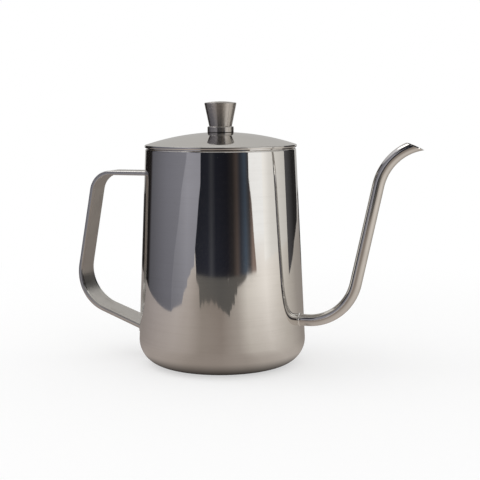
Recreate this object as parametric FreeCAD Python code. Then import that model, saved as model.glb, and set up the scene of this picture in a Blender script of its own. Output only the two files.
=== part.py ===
import FreeCAD, Part
import math
import os
from FreeCAD import Vector

# Gooseneck kettle for pour-over coffee.
# Millimetres, +Z up, origin at the middle of the flat bottom, spout along +X, handle along -X.

# Body: a drawn pot whose wall leans inward going up
body_height = 117.0
base_radius = 46.0
wall_lean = 2.67
base_corner_radius = 13.4
body_sheet = 0.7
rim_fold_depth = 4.0
rim_fold_gap = 0.2
rim_outer_round = 0.6
rim_inner_round = 0.4

# Spout: a bent tube that leaves the wall level and ends in a slanted lip
spout_diameter = 6.3
spout_wall = 0.5
spout_root_height = 25.8
spout_root_run = 4.3
spout_lower_bend_radius = 27.0
spout_rise_angle = 77.4
spout_upper_bend_radius = 27.8
spout_lip_angle = 8.5
spout_lip_below_rim = 0.3
spout_tip_cut_angle = 22.8
spout_weld_height = 0.4
spout_weld_width = 1.1

# Handle: a flat bar, measured on its outer face, that widens from the lower bend to its foot
handle_width = 13.8
handle_foot_width = 18.5
handle_flare_height = 50.0
handle_flare_radius = 120.0
handle_thickness = 2.4
handle_edge_round = 0.7
handle_top_below_rim = 12.9
handle_reach = 33.5
handle_lean = 10.6
handle_upper_bend_radius = 12.8
handle_lower_bend_radius = 23.2
handle_lower_corner_height = 31.9
handle_lower_slope = 20.0
handle_weld_leg = 0.8
handle_weld_toe = 0.15

# Lid: a dome with a rolled edge that grips the flange of a collar
lid_height = 8.5
lid_overhang = 0.4
lid_sheet = 0.6
lid_roll_gap = 0.3
lid_collar_depth = 8.5
lid_collar_sheet = 0.6
lid_collar_clearance = 0.35
lid_fold_clearance = 0.15
lid_vent_diameter = 2.4
lid_vent_reach = 25.0

# Knob: an inverted cone on a foot ring, drilled from below
knob_foot_radius = 7.1
knob_foot_height = 3.3
knob_neck_radius = 6.1
knob_top_radius = 8.6
knob_cone_height = 12.1
knob_edge_chamfer = 0.35
knob_crown = 0.9
knob_seat_margin = 0.3

# Knob screw and its washer
screw_diameter = 4.0
screw_grip = 8.0
screw_tip_room = 1.5
screw_head_radius = 3.8
screw_head_height = 2.3
screw_head_round = 0.8
screw_hole_clearance = 0.2
screw_thread_clearance = 0.05
screw_recess_length = 4.2
screw_recess_width = 0.9
screw_recess_depth = 1.3
washer_radius = 4.6
washer_thickness = 0.8

# Room that cutting tools and hidden ends reach past a face
overshoot = 5.0

# Sizes worked out from the ones above
lean = math.radians(wall_lean)
taper = math.tan(lean)
spout_radius = spout_diameter / 2
spout_bore_radius = spout_radius - spout_wall
screw_radius = screw_diameter / 2
lid_roll_radius = lid_sheet + (lid_collar_sheet + lid_roll_gap) / 2


def wall_radius(height):
    """Outer radius of the pot's wall at a height."""
    return base_radius - taper * height


rim_radius = wall_radius(body_height)
mouth_radius = rim_radius - 2 * body_sheet - rim_fold_gap


def line(start, end):
    return Part.LineSegment(start, end).toShape()


def arc(start, middle, end):
    return Part.Arc(start, middle, end).toShape()


def section(radius, height):
    """A point of a turned outline."""
    return Vector(radius, 0, height)


def round_point(centre, radius, angle):
    """A point on a circle in the XZ plane, with the angle in radians from +X towards +Z."""
    return centre + Vector(radius * math.cos(angle), 0, radius * math.sin(angle))


def turned(edges):
    """A solid of revolution about Z from the edges of a closed outline."""
    face = Part.Face(Part.Wire(edges))
    return face.revolve(Vector(0, 0, 0), Vector(0, 0, 1), 360)


def polygon_edges(points):
    """Straight edges from each point to the next."""
    return [line(a, b) for a, b in zip(points, points[1:])]


def drilled(radius, low, high, x=0.0):
    """A vertical drill between two heights."""
    return Part.makeCylinder(radius, high - low, Vector(x, 0, low), Vector(0, 0, 1))


def pot_outline(inset):
    """Edges of the pot's bottom and lower corner, moved inward by a thickness, and where the wall starts."""
    corner_centre = section(
        base_radius - taper * base_corner_radius - base_corner_radius / math.cos(lean), base_corner_radius
    )
    corner_radius = base_corner_radius - inset
    bottom = -math.pi / 2
    floor_middle = section(0, inset)
    corner_start = round_point(corner_centre, corner_radius, bottom)
    corner_middle = round_point(corner_centre, corner_radius, (bottom + lean) / 2)
    corner_end = round_point(corner_centre, corner_radius, lean)
    edges = [line(floor_middle, corner_start), arc(corner_start, corner_middle, corner_end)]
    return edges, corner_end


def inner_wall_radius(height):
    return wall_radius(height) - body_sheet / math.cos(lean)


def make_pot_block():
    """The pot's outer form as one full solid, used to fit the welded pieces against the wall."""
    edges, wall_start = pot_outline(0)
    rim = section(rim_radius, body_height)
    top_middle = section(0, body_height)
    edges += polygon_edges([wall_start, rim, top_middle, section(0, 0)])
    return turned(edges)


def make_body_shell():
    """The drawn pot: a thin wall, a rim folded inward and a hole into the spout."""
    outer, outer_start = pot_outline(0)
    inner, inner_start = pot_outline(body_sheet)
    slant = 1 / math.sqrt(2)
    round_low = body_height - rim_outer_round
    outer_low = section(wall_radius(round_low), round_low)
    outer_top = section(outer_low.x - rim_outer_round, body_height)
    outer_middle = section(
        outer_top.x + rim_outer_round * slant, round_low + rim_outer_round * slant
    )
    mouth_top = section(mouth_radius + rim_inner_round, body_height)
    mouth_low = section(mouth_radius, body_height - rim_inner_round)
    mouth_middle = section(
        mouth_top.x - rim_inner_round * slant, mouth_low.z + rim_inner_round * slant
    )
    fold_height = body_height - rim_fold_depth
    fold_end = section(mouth_radius, fold_height)
    fold_root = section(inner_wall_radius(fold_height), fold_height)
    edges = outer + [
        line(outer_start, outer_low),
        arc(outer_low, outer_middle, outer_top),
        line(outer_top, mouth_top),
        arc(mouth_top, mouth_middle, mouth_low),
        line(mouth_low, fold_end),
        line(fold_end, fold_root),
        line(fold_root, inner_start),
    ]
    edges += list(reversed(inner)) + [line(section(0, body_sheet), section(0, 0))]
    shell = turned(edges)
    hole = Part.makeCylinder(
        spout_bore_radius, base_radius, Vector(0, 0, spout_root_height), Vector(1, 0, 0)
    )
    return shell.cut(hole)


def turn_along(start, heading, radius, turn):
    """An arc in the XZ plane from a point and heading, turning left for a positive angle, and its end."""
    side = 1 if turn > 0 else -1
    centre = start + Vector(-math.sin(heading), 0, math.cos(heading)) * (radius * side)
    first = heading - side * math.pi / 2
    middle = round_point(centre, radius, first + turn / 2)
    end = round_point(centre, radius, first + turn)
    return arc(start, middle, end), end


def run_along(start, heading, length):
    """A straight run in the XZ plane from a point and heading, and its end."""
    end = start + Vector(math.cos(heading), 0, math.sin(heading)) * length
    return line(start, end), end


def spout_route():
    """The spout's centre line from inside the pot to the lip, and the lip's lowest point."""
    rise = math.radians(spout_rise_angle)
    lip = math.radians(spout_lip_angle)
    lip_height = body_height - spout_lip_below_rim
    bends = spout_lower_bend_radius * (1 - math.cos(rise))
    bends += spout_upper_bend_radius * (math.cos(lip) - math.cos(rise))
    climb = lip_height + spout_radius * math.cos(lip) - spout_root_height - bends
    root = Vector(wall_radius(spout_root_height) - overshoot, 0, spout_root_height)
    root_edge, root_end = run_along(root, 0, overshoot + spout_root_run)
    lower_edge, lower_end = turn_along(root_end, 0, spout_lower_bend_radius, rise)
    rise_edge, rise_end = run_along(lower_end, rise, climb / math.sin(rise))
    upper_edge, tip = turn_along(rise_end, rise, spout_upper_bend_radius, lip - rise)
    lip_point = tip + Vector(math.sin(lip), 0, -math.cos(lip)) * spout_radius
    return Part.Wire([root_edge, lower_edge, rise_edge, upper_edge]), root, lip_point


def round_bar(route, start, radius):
    """A round bar swept along the spout's centre line."""
    ring = Part.Wire(Part.makeCircle(radius, start, Vector(1, 0, 0)))
    return route.makePipe(Part.Face(ring))


def make_spout_tube(pot_block):
    """The gooseneck: a tube fitted to the wall and cut slanting through its tip."""
    route, start, lip_point = spout_route()
    tube = round_bar(route, start, spout_radius).cut(round_bar(route, start, spout_bore_radius))
    reach = 2 * (spout_upper_bend_radius + spout_radius)
    blade = Part.makeBox(reach, reach, reach, Vector(-reach / 2, -reach / 2, 0))
    blade.rotate(Vector(0, 0, 0), Vector(0, 1, 0), spout_tip_cut_angle)
    blade.translate(lip_point)
    return tube.cut(pot_block).cut(blade)


def make_spout_weld_bead(pot_block):
    """A low round bead where the tube meets the wall."""
    wall = wall_radius(spout_root_height)
    inner_end = section(spout_radius, -overshoot)
    outer_start = section(spout_radius + spout_weld_height, -overshoot)
    crest = section(spout_radius + spout_weld_height, spout_weld_width - spout_weld_height)
    toe = section(spout_radius, spout_weld_width)
    slant = 1 / math.sqrt(2)
    shoulder = section(
        spout_radius + spout_weld_height * slant, crest.z + spout_weld_height * slant
    )
    bead = turned([
        line(inner_end, outer_start),
        line(outer_start, crest),
        arc(crest, shoulder, toe),
        line(toe, inner_end),
    ])
    bead.rotate(Vector(0, 0, 0), Vector(0, 1, 0), 90)
    bead.translate(Vector(wall, 0, spout_root_height))
    return bead.cut(pot_block)


def handle_corners():
    """The outer face's four points: inside the pot, the two bends' corners, and inside the pot again."""
    top = body_height - handle_top_below_rim
    upper = Vector(-wall_radius(top) - handle_reach, 0, top)
    drop = top - handle_lower_corner_height
    lower = Vector(upper.x - drop * math.tan(math.radians(handle_lean)), 0, handle_lower_corner_height)
    start = Vector(overshoot - wall_radius(top), 0, top)
    inward = overshoot - base_radius - lower.x
    end = lower + Vector(inward, 0, -inward * math.tan(math.radians(handle_lower_slope)))
    return start, upper, lower, end


def handle_headings():
    """Directions of the top arm, the grip and the lower arm, in radians from +X towards +Z."""
    grip = math.radians(-90 - handle_lean)
    lower_arm = math.radians(-handle_lower_slope)
    return -math.pi, grip, lower_arm


def bend_tangent(radius, turn):
    """Length from a bend's corner to where its arc starts."""
    return radius * math.tan(abs(turn) / 2)


def handle_route():
    """The strap's centre line, half a thickness inside its outer face."""
    start, upper, lower, end = handle_corners()
    top_arm, grip, lower_arm = handle_headings()
    upper_turn = grip - top_arm
    lower_turn = lower_arm - grip
    upper_tangent = bend_tangent(handle_upper_bend_radius, upper_turn)
    lower_tangent = bend_tangent(handle_lower_bend_radius, lower_turn)
    half = handle_thickness / 2
    origin = start - Vector(0, 0, half)
    top_length = (upper - start).Length - upper_tangent
    grip_length = (lower - upper).Length - upper_tangent - lower_tangent
    low_length = (end - lower).Length - lower_tangent
    top_edge, top_end = run_along(origin, top_arm, top_length)
    upper_edge, upper_end = turn_along(top_end, top_arm, handle_upper_bend_radius - half, upper_turn)
    grip_edge, grip_end = run_along(upper_end, grip, grip_length)
    lower_edge, lower_end = turn_along(grip_end, grip, handle_lower_bend_radius - half, lower_turn)
    low_edge, low_end = run_along(lower_end, lower_arm, low_length)
    return Part.Wire([top_edge, upper_edge, grip_edge, lower_edge, low_edge]), origin, low_end


def strap_outline(centre, heading, width, thickness):
    """A closed rectangle across a strap that runs along a heading in the XZ plane, its width along Y."""
    across = Vector(0, width / 2, 0)
    outward = Vector(-math.sin(heading), 0, math.cos(heading)) * (thickness / 2)
    corners = [
        centre + across + outward,
        centre - across + outward,
        centre - across - outward,
        centre + across - outward,
    ]
    return Part.Wire(polygon_edges(corners + corners[:1]))


def on_wall(inner_end, heading):
    """Where a strap's centre line, started inside the pot, comes out through the wall."""
    out = Vector(math.cos(heading), 0, math.sin(heading))
    depth = inner_end.x + wall_radius(inner_end.z)
    return inner_end + out * (depth / (taper * out.z - out.x))


def make_handle_flare(foot):
    """A block as wide as the strap at each height: straight sides that spread below the grip."""
    half = handle_width / 2
    spread = (handle_foot_width / 2 - half) / (handle_flare_height - foot.z)
    blend = handle_flare_radius * math.tan(math.atan(spread) / 2)
    top = body_height
    low = foot.z - overshoot

    def side(y, z):
        return Vector(0, y, z)

    def spread_half(z):
        return half + spread * (handle_flare_height - z)

    blend_high = handle_flare_height + blend
    blend_low = handle_flare_height - blend * math.cos(math.atan(spread))
    bulge = handle_flare_radius - math.sqrt(handle_flare_radius ** 2 - blend ** 2)
    edges = []
    for hand in (1, -1):
        edges += [
            line(side(hand * half, top), side(hand * half, blend_high)),
            arc(
                side(hand * half, blend_high),
                side(hand * (half + bulge), handle_flare_height),
                side(hand * spread_half(blend_low), blend_low),
            ),
            line(side(hand * spread_half(blend_low), blend_low), side(hand * spread_half(low), low)),
        ]
    edges.append(line(side(half, top), side(-half, top)))
    edges.append(line(side(spread_half(low), low), side(-spread_half(low), low)))
    outline = Part.Wire(Part.__sortEdges__(edges))
    return Part.Face(outline).extrude(Vector(-2 * (base_radius + handle_reach), 0, 0))


def make_handle_strap(pot_block):
    """The strap: a bent flat bar with rounded edges, fitted to the wall at both ends."""
    route, start, low_end = handle_route()
    _, _, lower_arm = handle_headings()
    foot = on_wall(low_end, lower_arm + math.pi)
    wide = strap_outline(start, -math.pi, 2 * handle_foot_width, handle_thickness)
    bar = route.makePipe(Part.Face(wide)).common(make_handle_flare(foot))
    cap_edge = handle_thickness + handle_edge_round
    side_edges = [edge for edge in bar.Edges if abs(edge.CenterOfMass.y) > handle_edge_round]
    long_edges = [edge for edge in side_edges if edge.Length > cap_edge]
    return bar.makeFillet(handle_edge_round, long_edges).cut(pot_block)


def make_handle_weld(pot_block, strap, inner_end, heading, width):
    """A fillet of weld round one end of the strap, sloping from the wall to the bar."""
    out = Vector(math.cos(heading), 0, math.sin(heading))
    middle = on_wall(inner_end, heading)
    reach = out * handle_weld_leg
    root_grow = 2 * (handle_weld_toe + 2 * handle_weld_leg)
    crest_grow = 2 * handle_weld_toe
    root = strap_outline(middle - reach, heading, width + root_grow, handle_thickness + root_grow)
    crest = strap_outline(middle + reach, heading, width + crest_grow, handle_thickness + crest_grow)
    return Part.makeLoft([root, crest], True).cut(strap).cut(pot_block)


# The lid's dome is part of a sphere, from the top of the rolled edge to the crown
roll_middle_radius = rim_radius + lid_overhang - lid_roll_radius
dome_foot = body_height + 2 * lid_roll_radius
dome_rise = body_height + lid_height - dome_foot
dome_radius = (roll_middle_radius ** 2 + dome_rise ** 2) / (2 * dome_rise)
dome_centre = body_height + lid_height - dome_radius


def dome_height(radius):
    """Height of the lid's outer face at a radius."""
    return dome_centre + math.sqrt(dome_radius ** 2 - radius ** 2)


# The knob stands on a small flat at the crown, and the collar hangs inside the mouth
knob_seat_radius = knob_foot_radius + knob_seat_margin
knob_seat = dome_height(knob_seat_radius)
lid_underside = knob_seat - lid_sheet
collar_radius = mouth_radius - lid_collar_clearance


def make_lid_dome():
    """The lid's sheet: a flat seat for the knob, a dome, and an edge rolled under to the collar."""
    between = (knob_seat_radius + roll_middle_radius) / 2
    down = Vector(0, 0, -lid_sheet)
    seat = section(knob_seat_radius, knob_seat)
    dome_middle = section(between, dome_height(between))
    foot = section(roll_middle_radius, dome_foot)
    roll_centre = section(roll_middle_radius, body_height + lid_roll_radius)
    fold_radius = collar_radius + lid_fold_clearance
    fold_inner = section(fold_radius, body_height)
    slot_radius = lid_roll_radius - lid_sheet
    slot_low = round_point(roll_centre, slot_radius, -math.pi / 2)
    slot_high = round_point(roll_centre, slot_radius, math.pi / 2)
    roll_low = round_point(roll_centre, lid_roll_radius, -math.pi / 2)
    edges = [
        line(section(0, knob_seat), seat),
        arc(seat, dome_middle, foot),
        arc(foot, round_point(roll_centre, lid_roll_radius, 0), roll_low),
        line(roll_low, fold_inner),
        line(fold_inner, fold_inner - down),
        line(fold_inner - down, slot_low),
        arc(slot_low, round_point(roll_centre, slot_radius, 0), slot_high),
        arc(slot_high, dome_middle + down, seat + down),
        line(seat + down, section(0, lid_underside)),
        line(section(0, lid_underside), section(0, knob_seat)),
    ]
    screw_hole = drilled(
        screw_radius + screw_hole_clearance, lid_underside - overshoot, knob_seat + overshoot
    )
    vent = drilled(lid_vent_diameter / 2, body_height, body_height + lid_height, -lid_vent_reach)
    return turned(edges).cut(screw_hole).cut(vent)


def make_lid_collar():
    """The collar: a ring that drops into the mouth, with a flange held in the lid's rolled edge."""
    flange_low = body_height + lid_sheet
    flange_high = flange_low + lid_collar_sheet
    flange_radius = roll_middle_radius - lid_fold_clearance
    inner_radius = collar_radius - lid_collar_sheet
    collar_low = body_height - lid_collar_depth
    outline = [
        section(inner_radius, collar_low),
        section(collar_radius, collar_low),
        section(collar_radius, flange_low),
        section(flange_radius, flange_low),
        section(flange_radius, flange_high),
        section(inner_radius, flange_high),
        section(inner_radius, collar_low),
    ]
    return turned(polygon_edges(outline))


def make_lid_knob():
    """The knob: turned from one bar, with a blind hole for the screw."""
    cone_low = knob_seat + knob_foot_height
    cone_high = cone_low + knob_cone_height
    rim_height = cone_high + knob_edge_chamfer
    rim_edge = knob_top_radius - knob_edge_chamfer
    crown_top = section(0, rim_height + knob_crown)
    crown_radius = (rim_edge ** 2 + knob_crown ** 2) / (2 * knob_crown)
    crown_half = rim_edge / 2
    crown_fall = crown_radius - math.sqrt(crown_radius ** 2 - crown_half ** 2)
    crown_middle = section(crown_half, crown_top.z - crown_fall)
    side = [
        section(0, knob_seat),
        section(knob_foot_radius - knob_edge_chamfer, knob_seat),
        section(knob_foot_radius, knob_seat + knob_edge_chamfer),
        section(knob_foot_radius, cone_low - knob_edge_chamfer),
        section(knob_foot_radius - knob_edge_chamfer, cone_low),
        section(knob_neck_radius, cone_low),
        section(knob_top_radius, cone_high),
        section(rim_edge, rim_height),
    ]
    edges = polygon_edges(side)
    edges.append(arc(side[-1], crown_middle, crown_top))
    edges.append(line(crown_top, side[0]))
    hole = drilled(
        screw_radius + screw_thread_clearance, knob_seat - overshoot, knob_seat + screw_grip + screw_tip_room
    )
    return turned(edges).cut(hole)


def make_knob_washer():
    """A flat washer between the lid's underside and the screw's head."""
    low = lid_underside - washer_thickness
    ring = drilled(washer_radius, low, lid_underside)
    return ring.cut(drilled(screw_radius + screw_hole_clearance, low - overshoot, lid_underside + overshoot))


def make_knob_screw():
    """A pan-head screw with a cross recess, driven up into the knob."""
    head_top = lid_underside - washer_thickness
    head_low = head_top - screw_head_height
    head = drilled(screw_head_radius, head_low, head_top)
    head = head.makeFillet(
        screw_head_round, [edge for edge in head.Edges if edge.BoundBox.ZMax < head_low + screw_head_round]
    )
    shank = drilled(screw_radius, head_low + screw_head_height / 2, knob_seat + screw_grip)
    screw = head.fuse(shank)
    for length, width in (
        (screw_recess_length, screw_recess_width),
        (screw_recess_width, screw_recess_length),
    ):
        corner = Vector(-length / 2, -width / 2, head_low)
        screw = screw.cut(Part.makeBox(length, width, screw_recess_depth, corner))
    return screw.removeSplitter()


def make_all():
    """Every piece by its node's name."""
    pot_block = make_pot_block()
    strap = make_handle_strap(pot_block)
    top_arm, _, lower_arm = handle_headings()
    _, upper_end, lower_end = handle_route()
    return {
        "body_shell": make_body_shell(),
        "spout_tube": make_spout_tube(pot_block),
        "spout_weld_bead": make_spout_weld_bead(pot_block),
        "handle_strap": strap,
        "handle_weld_upper": make_handle_weld(pot_block, strap, upper_end, top_arm, handle_width),
        "handle_weld_lower": make_handle_weld(
            pot_block, strap, lower_end, lower_arm + math.pi, handle_foot_width
        ),
        "lid_dome": make_lid_dome(),
        "lid_collar": make_lid_collar(),
        "lid_knob": make_lid_knob(),
        "knob_washer": make_knob_washer(),
        "knob_screw": make_knob_screw(),
    }


os.makedirs("parts", exist_ok=True)
for node, shape in make_all().items():
    shape.exportStep("parts/" + node + ".step")
    box = shape.optimalBoundingBox()
    print(
        node, "solids", len(shape.Solids), "valid", shape.isValid(), "volume", round(shape.Volume, 1),
        "x", round(box.XMin, 2), round(box.XMax, 2), "y", round(box.YMin, 2), round(box.YMax, 2),
        "z", round(box.ZMin, 2), round(box.ZMax, 2),
    )
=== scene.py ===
import bpy
from math import acos, asin, atan2, cos, hypot, pi, radians, sin, sqrt, tan
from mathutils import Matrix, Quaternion, Vector


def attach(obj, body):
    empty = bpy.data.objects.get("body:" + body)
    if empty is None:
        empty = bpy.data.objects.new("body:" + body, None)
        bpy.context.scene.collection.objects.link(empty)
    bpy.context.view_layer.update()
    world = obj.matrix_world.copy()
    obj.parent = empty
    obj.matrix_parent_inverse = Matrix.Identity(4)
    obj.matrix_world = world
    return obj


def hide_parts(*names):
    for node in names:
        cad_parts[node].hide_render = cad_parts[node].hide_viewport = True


# Gooseneck kettle for pour-over coffee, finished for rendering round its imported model.
# Sizes are in metres, +Z up, origin at the middle of the flat bottom, spout along +X.

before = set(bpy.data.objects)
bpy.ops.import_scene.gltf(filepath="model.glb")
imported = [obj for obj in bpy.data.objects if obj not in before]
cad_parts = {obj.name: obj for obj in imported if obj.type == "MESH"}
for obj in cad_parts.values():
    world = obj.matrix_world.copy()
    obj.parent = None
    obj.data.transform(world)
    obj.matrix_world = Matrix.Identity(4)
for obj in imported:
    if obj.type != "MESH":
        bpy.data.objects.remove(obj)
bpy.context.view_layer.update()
bpy.ops.object.select_all(action="DESELECT")

mm = 0.001
micron = 0.000001
quarter_turn = pi / 2

# Pot
pot_height = 117.0 * mm
base_radius = 46.0 * mm
wall_lean = radians(2.67)
corner_radius = 13.4 * mm
pot_sheet = 0.7 * mm
rim_fold_depth = 4.0 * mm
rim_fold_gap = 0.2 * mm
rim_outer_round = 1.0 * mm
rim_inner_round = 0.4 * mm
weld_depth = 0.3 * mm
core_margin = 5.0 * mm
pot_sides = 288

# Heights in millimetres of the rows of points on the wall, closer at the corner, the spout and the rim
corner_rows = [14.3, 15.0]
spout_rows = [17.0, 18.5] + [20.0 + 0.75 * step for step in range(17)] + [33.5]
wall_rows = [36.0, 44.0, 54.0, 64.0, 74.0, 84.0, 94.0, 104.0]
rim_rows = [111.0, 115.4, 116.1]
inner_rows = [36.0, 44.0, 64.0, 84.0, 104.0, 112.0]

# Spout
spout_radius = 3.15 * mm
spout_wall = 0.5 * mm
spout_root_height = 25.8 * mm
spout_root_run = 4.3 * mm
spout_lower_bend = 27.0 * mm
spout_rise = radians(77.4)
spout_upper_bend = 27.8 * mm
spout_lip_heading = radians(8.5)
spout_lip_below_rim = 0.3 * mm
spout_mouth_slant = radians(22.8)
spout_mouth_round = 0.08 * mm
spout_mouth_merge = 0.15 * mm
spout_mouth_segments = 3
spout_start_inside = 3.0 * mm
spout_hole_length = 12.0 * mm
spout_hole_sides = 48
spout_sides = 64
spout_bend_steps = 36
spout_lines_across = 2200
spout_lines_along = 30

# Weld bead round the spout's root
bead_height = 0.28 * mm
bead_width = 0.6 * mm
bead_overlap = 0.2 * mm
bead_root = 1.5 * mm
bead_toe_rise = 0.25 * mm
bead_toe_width = 0.12 * mm
bead_foot_rise = 0.06 * mm
bead_foot_width = 0.34 * mm
bead_sides = 96

# Handle strap, measured along the middle of its thickness
strap_width = 13.8 * mm
strap_foot_width = 18.5 * mm
strap_foot_height = 18.2 * mm
strap_flare_height = 50.0 * mm
strap_flare_blend = 5.0 * mm
strap_flare_lead = 12.0 * mm
strap_flare_row = 1.25 * mm
strap_thickness = 2.4 * mm
strap_edge_round = 0.7 * mm
strap_edge_segments = 6
strap_wear_reach = 0.2 * mm
strap_top_below_rim = 12.9 * mm
strap_reach = 33.5 * mm
strap_lean = radians(10.6)
strap_upper_bend = 12.8 * mm
strap_lower_bend = 23.2 * mm
strap_lower_corner = 31.9 * mm
strap_lower_slope = radians(20.0)
strap_end_height = 15.0 * mm
strap_overlap = 4.0 * mm
strap_columns = 8
strap_weld_leg = 0.8 * mm
strap_weld_toe = 0.15 * mm
strap_weld_height = 17.5 * mm
strap_weld_steps = 6
strap_weld_segments = 5

# Lid
lid_height = 8.5 * mm
lid_overhang = 0.4 * mm
lid_sheet = 0.6 * mm
lid_roll_radius = 1.05 * mm
lid_edge_corner = 0.25 * mm
lid_edge_round = 1.25 * mm
lid_slot_height = 0.5 * mm
lid_slot_depth = 0.8 * mm
lid_sides = 256
collar_depth = 8.5 * mm
collar_sheet = 0.6 * mm
collar_clearance = 0.35 * mm
collar_bend = 0.9 * mm
collar_neck = 2.0 * mm
fold_clearance = 0.15 * mm
vent_radius = 1.2 * mm
vent_reach = 25.0 * mm
vent_drill_length = 20.0 * mm
vent_sides = 40

# Knob
knob_foot_radius = 7.1 * mm
knob_foot_height = 3.3 * mm
knob_neck_radius = 6.1 * mm
knob_top_radius = 8.6 * mm
knob_cone_height = 12.1 * mm
knob_edge_round = 0.45 * mm
knob_ring_round = 0.55 * mm
knob_seat_round = 0.1 * mm
knob_crown = 0.7 * mm
knob_seat_margin = 0.3 * mm
knob_seat_land = 0.4 * mm
knob_edge_margin = 0.15 * mm
knob_sides = 144
screw_hole_radius = 2.2 * mm
knob_hole_radius = 2.05 * mm
knob_hole_depth = 9.5 * mm

# Modelling
smooth_angle = radians(14)
merge_gap = 2 * micron
bend_margin = 0.5 * mm
near_enough = 0.25 * mm
on_plane = 0.01 * mm
row_digits = 4
row_gap = 0.0002 * mm
least_widening = 1.0001
edge_margin = 0.1 * mm
length_margin = 0.02 * mm

# Finishes
# Painted shade and dirt: the knob's colour darkens towards the crevice where it stands on the lid
crevice_height = 0.45 * mm
crevice_shade_and_dirt = 0.1
mark_dulling = 0.35
turned_mark_size = 40.0
grain_turn = 0.25
worn_share = 0.35

# Studio
card_full_height = 0.1
card_top_height = 1.2
camera_place = (0.2244, -0.5565, 0.1406)
camera_look = Vector((-0.3557, 0.9266, -0.1219))
camera_roll = radians(-0.37)
camera_lens = 83.25
lamp_aim = Vector((0, 0, 0.06))


def wall_radius(height):
    """Outer radius of the pot's wall at a height."""
    return base_radius - tan(wall_lean) * height


# Rim, lid and seat, worked out from the sizes above
rim_radius = wall_radius(pot_height)
mouth_radius = rim_radius - 2 * pot_sheet - rim_fold_gap
roll_middle = rim_radius + lid_overhang - lid_roll_radius
roll_height = pot_height + lid_roll_radius
crown_height = pot_height + lid_height
roll_fall = roll_height - crown_height
dome_radius = (lid_roll_radius ** 2 - roll_middle ** 2 - roll_fall ** 2) / (2 * (roll_fall + lid_roll_radius))
dome_centre = crown_height - dome_radius
roll_start = acos(roll_middle / (dome_radius - lid_roll_radius))
seat_radius = knob_foot_radius + knob_seat_margin
seat_angle = acos(seat_radius / dome_radius)
seat_height = dome_centre + dome_radius * sin(seat_angle)
collar_radius = mouth_radius - collar_clearance


def upright(x, z):
    """A place or a way in the XZ plane."""
    return Vector((x, 0, z))


def heading(angle):
    """A direction in the XZ plane, turned from +X towards +Z."""
    return upright(cos(angle), sin(angle))


def below(angle):
    """The direction to the right of a heading, square to it in the XZ plane."""
    return upright(sin(angle), -cos(angle))


# Places along the spout's middle line
spout_root = upright(wall_radius(spout_root_height), spout_root_height)
lower_bend_start = spout_root + upright(spout_root_run, 0)
lower_bend_centre = lower_bend_start + upright(0, spout_lower_bend)
rise_start = lower_bend_centre + spout_lower_bend * below(spout_rise)
spout_tip_height = pot_height - spout_lip_below_rim + spout_radius * cos(spout_lip_heading)
upper_bend_climb = spout_upper_bend * (cos(spout_lip_heading) - cos(spout_rise))
rise_length = (spout_tip_height - upper_bend_climb - rise_start.z) / sin(spout_rise)
rise_end = rise_start + rise_length * heading(spout_rise)
spout_up = (rise_end - rise_start).normalized()
upper_bend_centre = rise_end + spout_upper_bend * below(spout_rise)
spout_tip = upper_bend_centre - spout_upper_bend * below(spout_lip_heading)


def edit():
    """Goes into edit mode."""
    bpy.ops.object.mode_set(mode="EDIT")


def leave_edit():
    """Goes back to object mode."""
    bpy.ops.object.mode_set(mode="OBJECT")


def select_whole():
    """Selects the whole mesh in edit mode."""
    bpy.ops.mesh.select_all(action="SELECT")


def pick(piece):
    """Makes a piece the only one selected, and active, in object mode."""
    if bpy.context.mode != "OBJECT":
        leave_edit()
    bpy.ops.object.select_all(action="DESELECT")
    piece.select_set(True)
    bpy.context.view_layer.objects.active = piece


def name_new(name):
    """Names the primitive that was just added, and keeps its place in its mesh."""
    piece = bpy.context.active_object
    piece.name = name
    piece.data.name = name
    bpy.ops.object.transform_apply(location=True, rotation=True, scale=True)
    return piece


def begin(name, place):
    """A new piece that starts as one loose point, left in edit mode."""
    bpy.ops.mesh.primitive_plane_add(size=mm, location=(0, 0, 0))
    piece = name_new(name)
    edit()
    bpy.ops.mesh.select_mode(type="VERT")
    select_whole()
    bpy.ops.mesh.merge(type="CENTER")
    bpy.ops.transform.translate(value=place)
    return piece


def draw_point(move):
    """Draws an edge from the selected point."""
    bpy.ops.mesh.extrude_vertices_move(TRANSFORM_OT_translate={"value": move})


def draw_edges(move):
    """Draws faces out from the selected edges."""
    bpy.ops.mesh.extrude_edges_move(TRANSFORM_OT_translate={"value": move})


def sweep(centre, turn, steps):
    """Sweeps what is selected round a centre in the XZ plane, from +X towards +Z."""
    bpy.ops.mesh.spin(steps=steps, angle=turn, center=centre, axis=(0, 1, 0))


def draw(name, start, strokes, depth=0.0):
    """Draws a chain of edges in the XZ plane. A stroke of two numbers is a straight edge to a point.
    A stroke of four is an arc: its centre, its turn towards +Z from +X, and its steps."""
    at = Vector((start[0], depth, start[1]))
    piece = begin(name, at)
    for stroke in strokes:
        to = Vector((stroke[0], depth, stroke[1]))
        if len(stroke) == 2:
            draw_point(to - at)
            at = to
        else:
            turn, steps = stroke[2:]
            sweep(to, turn, steps)
            arm = at - to
            at = to + upright(
                arm.x * cos(turn) - arm.z * sin(turn), arm.x * sin(turn) + arm.z * cos(turn)
            )
    return piece


def lathe(sides, centre=(0, 0, 0), axis=(0, 0, 1)):
    """Turns the drawn chain once round an axis and closes it into a clean skin."""
    select_whole()
    bpy.ops.mesh.spin(steps=sides, angle=2 * pi, center=centre, axis=axis)
    clean_skin()


def clean_skin():
    """Merges doubled points and points all faces outwards."""
    select_whole()
    bpy.ops.mesh.remove_doubles(threshold=merge_gap)
    bpy.ops.mesh.normals_make_consistent(inside=False)


def thicken(piece, thickness, offset):
    """Gives a skin its thickness, to its inside (-1) or to both sides (0)."""
    bpy.ops.object.modifier_add(type="SOLIDIFY")
    wall = piece.modifiers[-1]
    wall.thickness = thickness
    wall.offset = offset
    wall.use_even_offset = True
    bpy.ops.object.modifier_apply(modifier=wall.name)


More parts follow.
